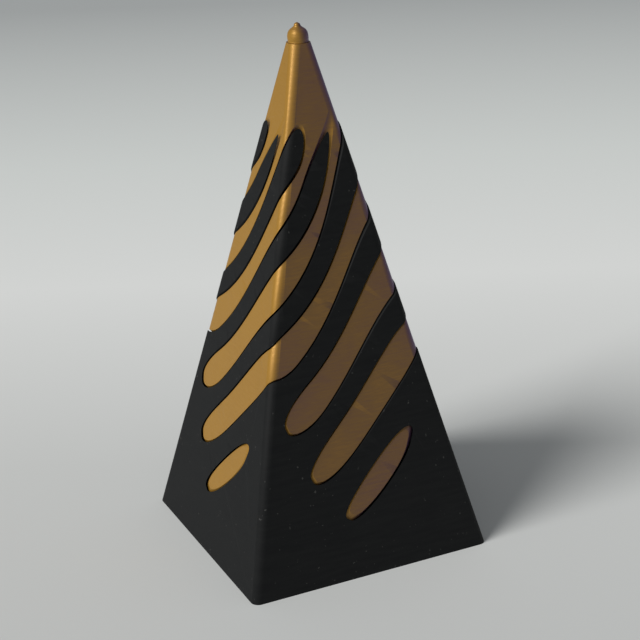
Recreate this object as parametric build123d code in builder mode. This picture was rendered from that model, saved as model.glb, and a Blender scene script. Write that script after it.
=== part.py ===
"""Pyramid twisty puzzle: a square pyramid shell and the lobed core that screws through it.

An eight-lobed prism, twisted about the vertical axis, divides the pyramid in two. What lies inside
the prism is the core, and what lies outside it is the shell, whose eight arms reach in between the
core's lobes. The prism keeps its shape along its own screw motion, so the core turns as it rises
and comes right out of the shell. Both pieces stand on flat bases at z = 0, with their axis on +Z.
"""

import math
import os

from build123d import *

os.makedirs("parts", exist_ok=True)

# Pyramid
base_width = 49.0  # across the flats of the shell's base
apex_height = 106.0  # where the shell's four faces would meet
shell_corner_radius = 1.6
core_corner_radius = 1.7
face_setback = 0.15  # the core's faces lie this far inside the shell's, at every height
tip_width = 4.1  # across the flats of the core where its faces end

# Screw that divides the pyramid
lobe_count = 8
screw_lead = 109.5  # rise in one full turn, right-handed
first_arm_angle = 21.6  # direction of one arm at the base, in degrees from +X
clearance = 0.45  # between the core's lobes and the shell, in a level section

# Level section of the shell's arms and the core's lobes
shell_wall = 2.3  # between the bore and the middle of a face, at the base
arm_tip_width = 3.95  # across an arm's rounded inner end
arm_splay = 3.5  # degrees by which each side of an arm opens outwards
lobe_root_width = 1.4  # of the core, between two neighbouring arms
lobe_rounding = 3.5  # of a lobe's two outer corners

# Bead of melted plastic that the print ends in
waist_step = 0.15  # the bead's waist lies this far inside the core's faces
bead_width = 4.0
belly_height = 1.1  # the bead's widest place, above its foot
bead_height = 2.8
nub_width = 1.2
nub_stem = 0.12  # below the nub's round end

overrun = 1.0  # how far the prism runs past what it cuts

# Worked out from the sizes above
turn_per_mm = 360 / screw_lead
face_slope = math.degrees(math.atan(base_width / 2 / apex_height))
core_height = apex_height * (1 - (tip_width + 2 * face_setback) / base_width)
bore_radius = base_width / 2 - shell_wall
half_pitch = math.radians(180 / lobe_count)
arm_tip_center = (lobe_root_width / 2 + arm_tip_width / 2 + clearance) / math.sin(half_pitch)


def pyramid(setback, corner_radius):
    """The pyramid up to the core's tip, with its faces set back and its slanted edges rounded."""
    foot_width = base_width - 2 * setback
    with BuildPart() as solid:
        with BuildSketch():
            Rectangle(foot_width, foot_width)
        extrude(amount=core_height, taper=face_slope)
        slanted_edges = solid.edges().group_by(Axis.Z)[1]
        fillet(slanted_edges, min(corner_radius, 0.45 * tip_width))
    return solid.part


def screw_plane(height):
    """The level plane at a height, turned with the screw so that its x axis follows one arm."""
    angle = math.radians(first_arm_angle + turn_per_mm * height)
    return Plane(origin=(0, 0, height), x_dir=(math.cos(angle), math.sin(angle), 0))


def arm_section(margin):
    """One arm along +X, grown all round by a margin, from its rounded tip out past the bore."""
    splay = math.radians(arm_splay)
    tip_radius = arm_tip_width / 2 + margin
    side_x = arm_tip_center - tip_radius * math.sin(splay)
    side_y = tip_radius * math.cos(splay)
    end_x = bore_radius + arm_tip_width
    end_y = side_y + (end_x - side_x) * math.tan(splay)
    with BuildSketch() as section:
        with BuildLine():
            ThreePointArc((side_x, -side_y), (arm_tip_center - tip_radius, 0), (side_x, side_y))
            Polyline((side_x, side_y), (end_x, end_y), (end_x, -end_y), (side_x, -side_y))
        make_face()
    return section.sketch


def full_round(radius, margin):
    """The rounding that would turn a lobe's whole end into one arc, between two grown arms."""
    splay = math.radians(arm_splay)
    lobe_slope = math.sin(half_pitch - splay)
    tip_radius = arm_tip_width / 2 + margin
    return (radius * lobe_slope + arm_tip_center * math.sin(splay) - tip_radius) / (1 + lobe_slope)


def twisted_prism(radius, arm_margin, rounding):
    """The lobed prism: a disc less its arms, swept up the axis and turned with the screw."""
    with BuildSketch(screw_plane(-overrun)) as section:
        Circle(radius)
        with PolarLocations(0, lobe_count):
            add(arm_section(arm_margin), mode=Mode.SUBTRACT)
        rim = radius - arm_tip_width / 2
        fillet(section.vertices().filter_by(lambda point: math.hypot(point.X, point.Y) > rim), rounding)
    height = core_height + 2 * overrun
    with BuildPart() as prism:
        with BuildLine() as axis:
            Line((0, 0, -overrun), (0, 0, height - overrun))
        with BuildLine(Plane.XY.offset(-overrun)) as guide:
            Helix(pitch=screw_lead, height=height, radius=radius)
        add(section.sketch)
        sweep(path=axis.wire(), binormal=guide.wire())
    return prism.part


core_lobe_rounding = min(lobe_rounding, 0.9 * full_round(bore_radius - clearance, clearance))

# Shell: the pyramid outside the prism
with BuildPart() as outer_shell:
    add(pyramid(0, shell_corner_radius))
    add(twisted_prism(bore_radius, 0, core_lobe_rounding + clearance), mode=Mode.SUBTRACT)
outer_shell.part.label = "outer_shell"
export_step(outer_shell.part, "parts/outer_shell.step")

# Core: the pyramid inside the prism, less the clearance
with BuildPart() as inner_core:
    add(pyramid(face_setback, core_corner_radius))
    add(twisted_prism(bore_radius - clearance, clearance, core_lobe_rounding), mode=Mode.INTERSECT)
inner_core.part.label = "inner_core"
export_step(inner_core.part, "parts/inner_core.step")

# Bead: waist, belly and nub in one turned outline on the core's tip
with BuildPart() as tip_bead:
    with BuildSketch(Plane.XZ):
        with BuildLine():
            bead_top = core_height + bead_height
            waist = (tip_width / 2 - waist_step, core_height)
            belly = (bead_width / 2, core_height + belly_height)
            shoulder = (nub_width / 2, bead_top)
            nub_center = (0, bead_top + nub_stem)
            Polyline((0, nub_center[1] + nub_width / 2), (0, core_height), waist)
            Spline(waist, belly, shoulder, tangents=((0, 1), (-1, 0.4)))
            Line(shoulder, (nub_width / 2, nub_center[1]))
            CenterArc(nub_center, nub_width / 2, start_angle=0, arc_size=90)
        make_face()
    revolve(axis=Axis.Z)
tip_bead.part.label = "tip_bead"
export_step(tip_bead.part, "parts/tip_bead.step")
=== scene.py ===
"""Pyramid twisty puzzle: looks for the matte black shell and the two-colour silk core.

The shell and the core keep their own solids, whose edges stay all but sharp. The bead that the print
ends in is a melted drop worked out here. Every finish is procedural.
"""

import math

import bpy
import numpy as np
from mathutils import Matrix, Vector


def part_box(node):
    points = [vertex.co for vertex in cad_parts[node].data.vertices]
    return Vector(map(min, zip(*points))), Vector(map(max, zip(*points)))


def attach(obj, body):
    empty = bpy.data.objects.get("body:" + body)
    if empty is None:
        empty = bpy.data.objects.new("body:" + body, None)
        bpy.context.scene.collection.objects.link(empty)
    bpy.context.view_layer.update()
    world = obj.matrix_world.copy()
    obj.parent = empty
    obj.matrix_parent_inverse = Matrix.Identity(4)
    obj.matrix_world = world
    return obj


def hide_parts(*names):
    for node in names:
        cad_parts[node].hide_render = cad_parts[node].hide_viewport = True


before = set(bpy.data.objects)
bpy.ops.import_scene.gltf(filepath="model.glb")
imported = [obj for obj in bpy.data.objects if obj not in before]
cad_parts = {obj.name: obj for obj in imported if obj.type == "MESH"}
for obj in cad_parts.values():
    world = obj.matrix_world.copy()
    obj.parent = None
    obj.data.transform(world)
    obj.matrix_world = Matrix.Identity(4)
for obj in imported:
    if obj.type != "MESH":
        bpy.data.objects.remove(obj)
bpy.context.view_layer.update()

# Viewpoint
AIM = Vector((0.00175, -0.0008, 0.0428))
AZIMUTH = -24.62
ELEVATION = 21.46
DISTANCE = 0.326
ROLL = 2.26
LENS = 96.2

# Printed plastic
LAYER = 0.0002  # height of one printed layer
EDGE_ROUNDING = 0.00016  # at most: the short edges of the solids' meshes hold it to under 0.00001
SHARP_EDGE = math.radians(35)  # edges sharper than this are bevelled
WELD_DISTANCE = 1e-6

# Light
WORLD_LIGHT = 0.25
WORLD_COLOUR = (0.95, 0.98, 1.0, 1)
KEY_LIGHT = 2.8
KEY_COLOUR = (1.0, 0.985, 0.96)
KEY_FROM = Vector((-0.78, -0.10, 0.62))
KEY_SPREAD = math.radians(28)

# Paper: its pale tone with a painted pool of light and painted shade
PAPER_REACH = 3.0
PAPER_NEAR = -0.1  # along the line of sight, where its tones with painted light begin
PAPER_FAR = 0.7
# Painted light: the pale paper is lightened into a painted pool of light a little beyond the puzzle, and
# darkened into painted shade towards the camera and farther off
PAPER_TONES_WITH_PAINTED_LIGHT = [
    (0.00, (0.59, 0.605, 0.605)),
    (0.16, (0.66, 0.675, 0.67)),
    (0.30, (0.82, 0.835, 0.83)),
    (0.45, (0.72, 0.75, 0.74)),
    (0.80, (0.42, 0.44, 0.445)),
    (1.00, (0.40, 0.42, 0.425)),
]

# Silk tones, from walls that face -X to walls that face +X
SILK_TONES = [
    (0.02, (0.40, 0.205, 0.022)),
    (0.30, (0.34, 0.175, 0.028)),
    (0.48, (0.215, 0.115, 0.036)),
    (0.60, (0.165, 0.085, 0.060)),
    (0.78, (0.120, 0.060, 0.110)),
    (1.00, (0.150, 0.085, 0.200)),
]

# Bead: its half width, as shares of its widest, at shares of its height
BEAD_HEIGHTS = np.array((0.0, 0.08, 0.20, 0.34, 0.50, 0.64, 0.76, 0.82, 0.88, 0.94, 0.98, 1.0))
BEAD_WIDTHS = np.array((0.97, 0.95, 0.98, 0.98, 0.92, 0.76, 0.46, 0.32, 0.30, 0.27, 0.18, 0.03))
BEAD_RINGS = 56
BEAD_AROUND = 72
BEAD_UNEVENNESS = 0.025
BEAD_DRIFT = -0.07


def new_material(name):
    """An empty material with a Principled shader, and a helper that adds and links its nodes."""
    material = bpy.data.materials.new(name)
    material.use_nodes = True
    tree = material.node_tree
    tree.nodes.clear()
    output = tree.nodes.new("ShaderNodeOutputMaterial")
    shader = tree.nodes.new("ShaderNodeBsdfPrincipled")
    tree.links.new(shader.outputs[0], output.inputs["Surface"])

    def add(kind, settings=None, **inputs):
        node = tree.nodes.new("ShaderNode" + kind)
        for key, value in (settings or {}).items():
            setattr(node, key, value)
        for key, value in inputs.items():
            key = int(key[1:]) if key[0] == "i" and key[1:].isdigit() else key.replace("_", " ")
            if isinstance(value, bpy.types.NodeSocket):
                tree.links.new(value, node.inputs[key])
            else:
                node.inputs[key].default_value = value
        return node

    return material, shader, add, tree.links.new


def ramp(add, value, stops):
    """A colour ramp over (position, colour) stops."""
    node = add("ValToRGB", Fac=value)
    elements = node.color_ramp.elements
    elements[0].position, elements[0].color = stops[0][0], (*stops[0][1], 1)
    elements[1].position, elements[1].color = stops[-1][0], (*stops[-1][1], 1)
    for position, colour in stops[1:-1]:
        elements.new(position).color = (*colour, 1)
    return node.outputs["Color"]


def layer_lines(add, coordinates, wobble):
    """Heights of the printed layers: level bands one layer high, a little uneven along their length."""
    noise = add("TexNoise", Vector=coordinates, Scale=260.0, Detail=2.0).outputs["Fac"]
    height = add("SeparateXYZ", Vector=coordinates).outputs["Z"]
    uneven = add("Math", {"operation": "MULTIPLY_ADD"}, i0=noise, i1=wobble, i2=height).outputs[0]
    turns = add("Math", {"operation": "MULTIPLY"}, i0=uneven, i1=2 * math.pi / LAYER).outputs[0]
    return add("Math", {"operation": "SINE"}, i0=turns).outputs[0]


def stretched(add, coordinates, scale):
    """Noise drawn out level, along the printed lines."""
    flat = add("Mapping", Vector=coordinates, Scale=(1.0, 1.0, 9.0)).outputs[0]
    return add("TexNoise", Vector=flat, Scale=scale, Detail=3.0).outputs["Fac"]


def black_plastic():
    """Matte black: fine layer lines, faint cloudiness and a few specks of pale dust."""
    material, shader, add, link = new_material("matte_black_print")
    place = add("TexCoord").outputs["Object"]
    cloud = stretched(add, place, 160.0)
    colour = ramp(add, cloud, [(0.3, (0.0050, 0.0055, 0.0062)), (0.7, (0.0085, 0.0092, 0.0095))])
    specks = add("TexNoise", Vector=place, Scale=1500.0, Detail=1.0).outputs["Fac"]
    dust = ramp(add, specks, [(0.74, (0.0, 0.0, 0.0)), (0.78, (0.5, 0.5, 0.5))])
    dusty = add("Mix", {"data_type": "RGBA"}, i0=dust, i6=colour, i7=(0.09, 0.09, 0.085, 1)).outputs[2]
    link(dusty, shader.inputs["Base Color"])
    rough = add("MapRange", Value=cloud, To_Min=0.58, To_Max=0.72).outputs[0]
    link(rough, shader.inputs["Roughness"])
    shader.inputs["Specular IOR Level"].default_value = 0.18
    lines = layer_lines(add, place, 0.00005)
    bump = add("Bump", Height=lines, Strength=0.16, Distance=0.00004).outputs[0]
    link(bump, shader.inputs["Normal"])
    return material


def silk_plastic():
    """Two-colour silk: gold where a wall faces -X, bronze between, violet where it faces +X, with streaks."""
    material, shader, add, link = new_material("two_colour_silk_print")
    coordinates = add("TexCoord")
    place = coordinates.outputs["Object"]
    facing = add("SeparateXYZ", Vector=coordinates.outputs["Normal"]).outputs["X"]
    streaks = stretched(add, place, 420.0)
    patches = add("TexNoise", Vector=place, Scale=52.0, Detail=2.0).outputs["Fac"]
    swayed = add("Math", {"operation": "MULTIPLY_ADD"}, i0=patches, i1=0.7, i2=facing).outputs[0]
    mixed = add("Math", {"operation": "MULTIPLY_ADD"}, i0=streaks, i1=0.35, i2=swayed).outputs[0]
    side = add("MapRange", Value=mixed, From_Min=-0.5, From_Max=1.5).outputs[0]
    link(ramp(add, side, SILK_TONES), shader.inputs["Base Color"])
    shader.inputs["Metallic"].default_value = 0.35
    rough = add("MapRange", Value=streaks, To_Min=0.36, To_Max=0.5).outputs[0]
    link(rough, shader.inputs["Roughness"])
    lines = layer_lines(add, place, 0.00006)
    ridges = add("Math", {"operation": "MULTIPLY_ADD"}, i0=streaks, i1=1.4, i2=lines).outputs[0]
    bump = add("Bump", Height=ridges, Strength=0.22, Distance=0.00005).outputs[0]
    link(bump, shader.inputs["Normal"])
    return material


def paper():
    """Pale paper under the puzzle, with painted light in its tone: a painted pool of light near the middle of
    the sheet, falling off gently into painted shade away from it along the line of sight.
    """
    material, shader, add, link = new_material("pale_paper_painted_light")
    place = add("TexCoord").outputs["Object"]
    turned = add("Mapping", Vector=place, Rotation=(0, 0, math.radians(-AZIMUTH))).outputs[0]
    away = add("SeparateXYZ", Vector=turned).outputs["Y"]
    share = add("MapRange", Value=away, From_Min=PAPER_NEAR, From_Max=PAPER_FAR).outputs[0]
    # the base colour is painted light: a painted pool of light on the pale paper, with painted shade on
    # either side of it
    link(ramp(add, share, PAPER_TONES_WITH_PAINTED_LIGHT), shader.inputs["Base Color"])
    shader.inputs["Roughness"].default_value = 0.8
    shader.inputs["Specular IOR Level"].default_value = 0.1
    return material


def grid_surface(name, points, material):
    """A closed surface from a (rings, around, 3) array: rings joined in turn, its two ends capped."""
    rings, around = points.shape[:2]
    index = np.arange(rings * around).reshape(rings, around)
    after = np.roll(index, -1, axis=1)
    quads = np.stack((index[:-1], after[:-1], after[1:], index[1:]), axis=-1).reshape(-1, 4)
    faces = quads.tolist() + [index[0, ::-1].tolist(), index[-1].tolist()]
    mesh = bpy.data.meshes.new(name)
    mesh.from_pydata(points.reshape(-1, 3).tolist(), [], faces)
    mesh.polygons.foreach_set("use_smooth", np.ones(len(faces), bool))
    mesh.materials.append(material)
    piece = bpy.data.objects.new(name, mesh)
    bpy.context.scene.collection.objects.link(piece)
    return piece


def melted_bead(material):
    """The drop at the tip: a full belly and a small nub, each ring slightly out of round.

    The radius is read off the bead's outline at each height and smoothed over five rings. Around a ring
    it dips by a few percent, by the sine of three times the angle. The rings' middles drift towards -X
    with the square of the height.
    """
    low, high = (np.array(corner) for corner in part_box("tip_bead"))
    height = high[2] - low[2]
    half = (high[0] - low[0]) / 2
    share = np.linspace(0, 1, BEAD_RINGS) ** 0.9
    radius = half * np.interp(share, BEAD_HEIGHTS, BEAD_WIDTHS)
    radius = np.convolve(np.pad(radius, 2, mode="edge"), np.ones(5) / 5, mode="valid")
    angle = np.linspace(0, 2 * np.pi, BEAD_AROUND, endpoint=False)
    around, up = np.meshgrid(angle, share)
    uneven = 1 - BEAD_UNEVENNESS * (1 + np.sin(3 * around + 2.0 + 4 * up)) * np.sin(np.pi * up)
    ring = radius[:, None] * uneven
    drift = BEAD_DRIFT * half * up**2
    points = np.stack((ring * np.cos(around) + drift, ring * np.sin(around), low[2] + height * up), axis=-1)
    piece = grid_surface("melted_bead", points, material)
    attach(piece, "tip")
    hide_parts("tip_bead")


def dress_solid(piece, material):
    """A CAD solid in its finish, welded, with a bevel that its own short edges clamp to almost nothing."""
    piece.data.materials.clear()
    piece.data.materials.append(material)
    weld = piece.modifiers.new("weld", "WELD")
    weld.merge_threshold = WELD_DISTANCE
    rounding = piece.modifiers.new("printed_edges", "BEVEL")
    rounding.width = EDGE_ROUNDING
    rounding.segments = 2
    rounding.limit_method = "ANGLE"
    rounding.angle_limit = SHARP_EDGE
    rounding.use_clamp_overlap = True


def studio_floor():
    """A wide level sheet of pale paper."""
    mesh = bpy.data.meshes.new("paper_sheet")
    reach = PAPER_REACH
    corners = [(-reach, -reach, 0), (reach, -reach, 0), (reach, reach, 0), (-reach, reach, 0)]
    mesh.from_pydata(corners, [], [(0, 1, 2, 3)])
    mesh.materials.append(paper())
    sheet = bpy.data.objects.new("paper_sheet", mesh)
    bpy.context.scene.collection.objects.link(sheet)


def lights():
    """Plain soft light: a broad key from the left and above, and an even pale world."""
    world = bpy.data.worlds.new("studio")
    bpy.context.scene.world = world
    world.use_nodes = True
    background = world.node_tree.nodes["Background"]
    background.inputs[0].default_value = WORLD_COLOUR
    background.inputs[1].default_value = WORLD_LIGHT
    data = bpy.data.lights.new("key", "SUN")
    data.energy = KEY_LIGHT
    data.angle = KEY_SPREAD
    data.color = KEY_COLOUR
    key = bpy.data.objects.new("key", data)
    key.rotation_euler = KEY_FROM.to_track_quat("Z", "Y").to_euler()
    bpy.context.scene.collection.objects.link(key)


def camera():
    """The viewpoint: a camera on a circle round the aim, rolled a little about its line of sight."""
    azimuth, elevation = math.radians(AZIMUTH), math.radians(ELEVATION)
    level = math.cos(elevation)
    back = Vector((math.sin(azimuth) * level, -math.cos(azimuth) * level, math.sin(elevation)))
    right = Vector((0, 0, 1)).cross(back).normalized()
    up = back.cross(right)
    turn = Matrix.Rotation(math.radians(ROLL), 3, -back)
    data = bpy.data.cameras.new("camera")
    data.lens = LENS
    data.sensor_width = 36
    data.clip_start = 0.01
    eye = bpy.data.objects.new("camera", data)
    bpy.context.scene.collection.objects.link(eye)
    facing = Matrix((turn @ right, turn @ up, back)).transposed().to_4x4()
    eye.matrix_world = Matrix.Translation(AIM + DISTANCE * back) @ facing
    bpy.context.scene.camera = eye


black = black_plastic()
silk = silk_plastic()
for name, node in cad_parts.items():
    if name != "tip_bead":
        dress_solid(node, silk if name == "inner_core" else black)
melted_bead(silk)
studio_floor()
lights()
camera()
bpy.context.scene.view_settings.view_transform = "Standard"
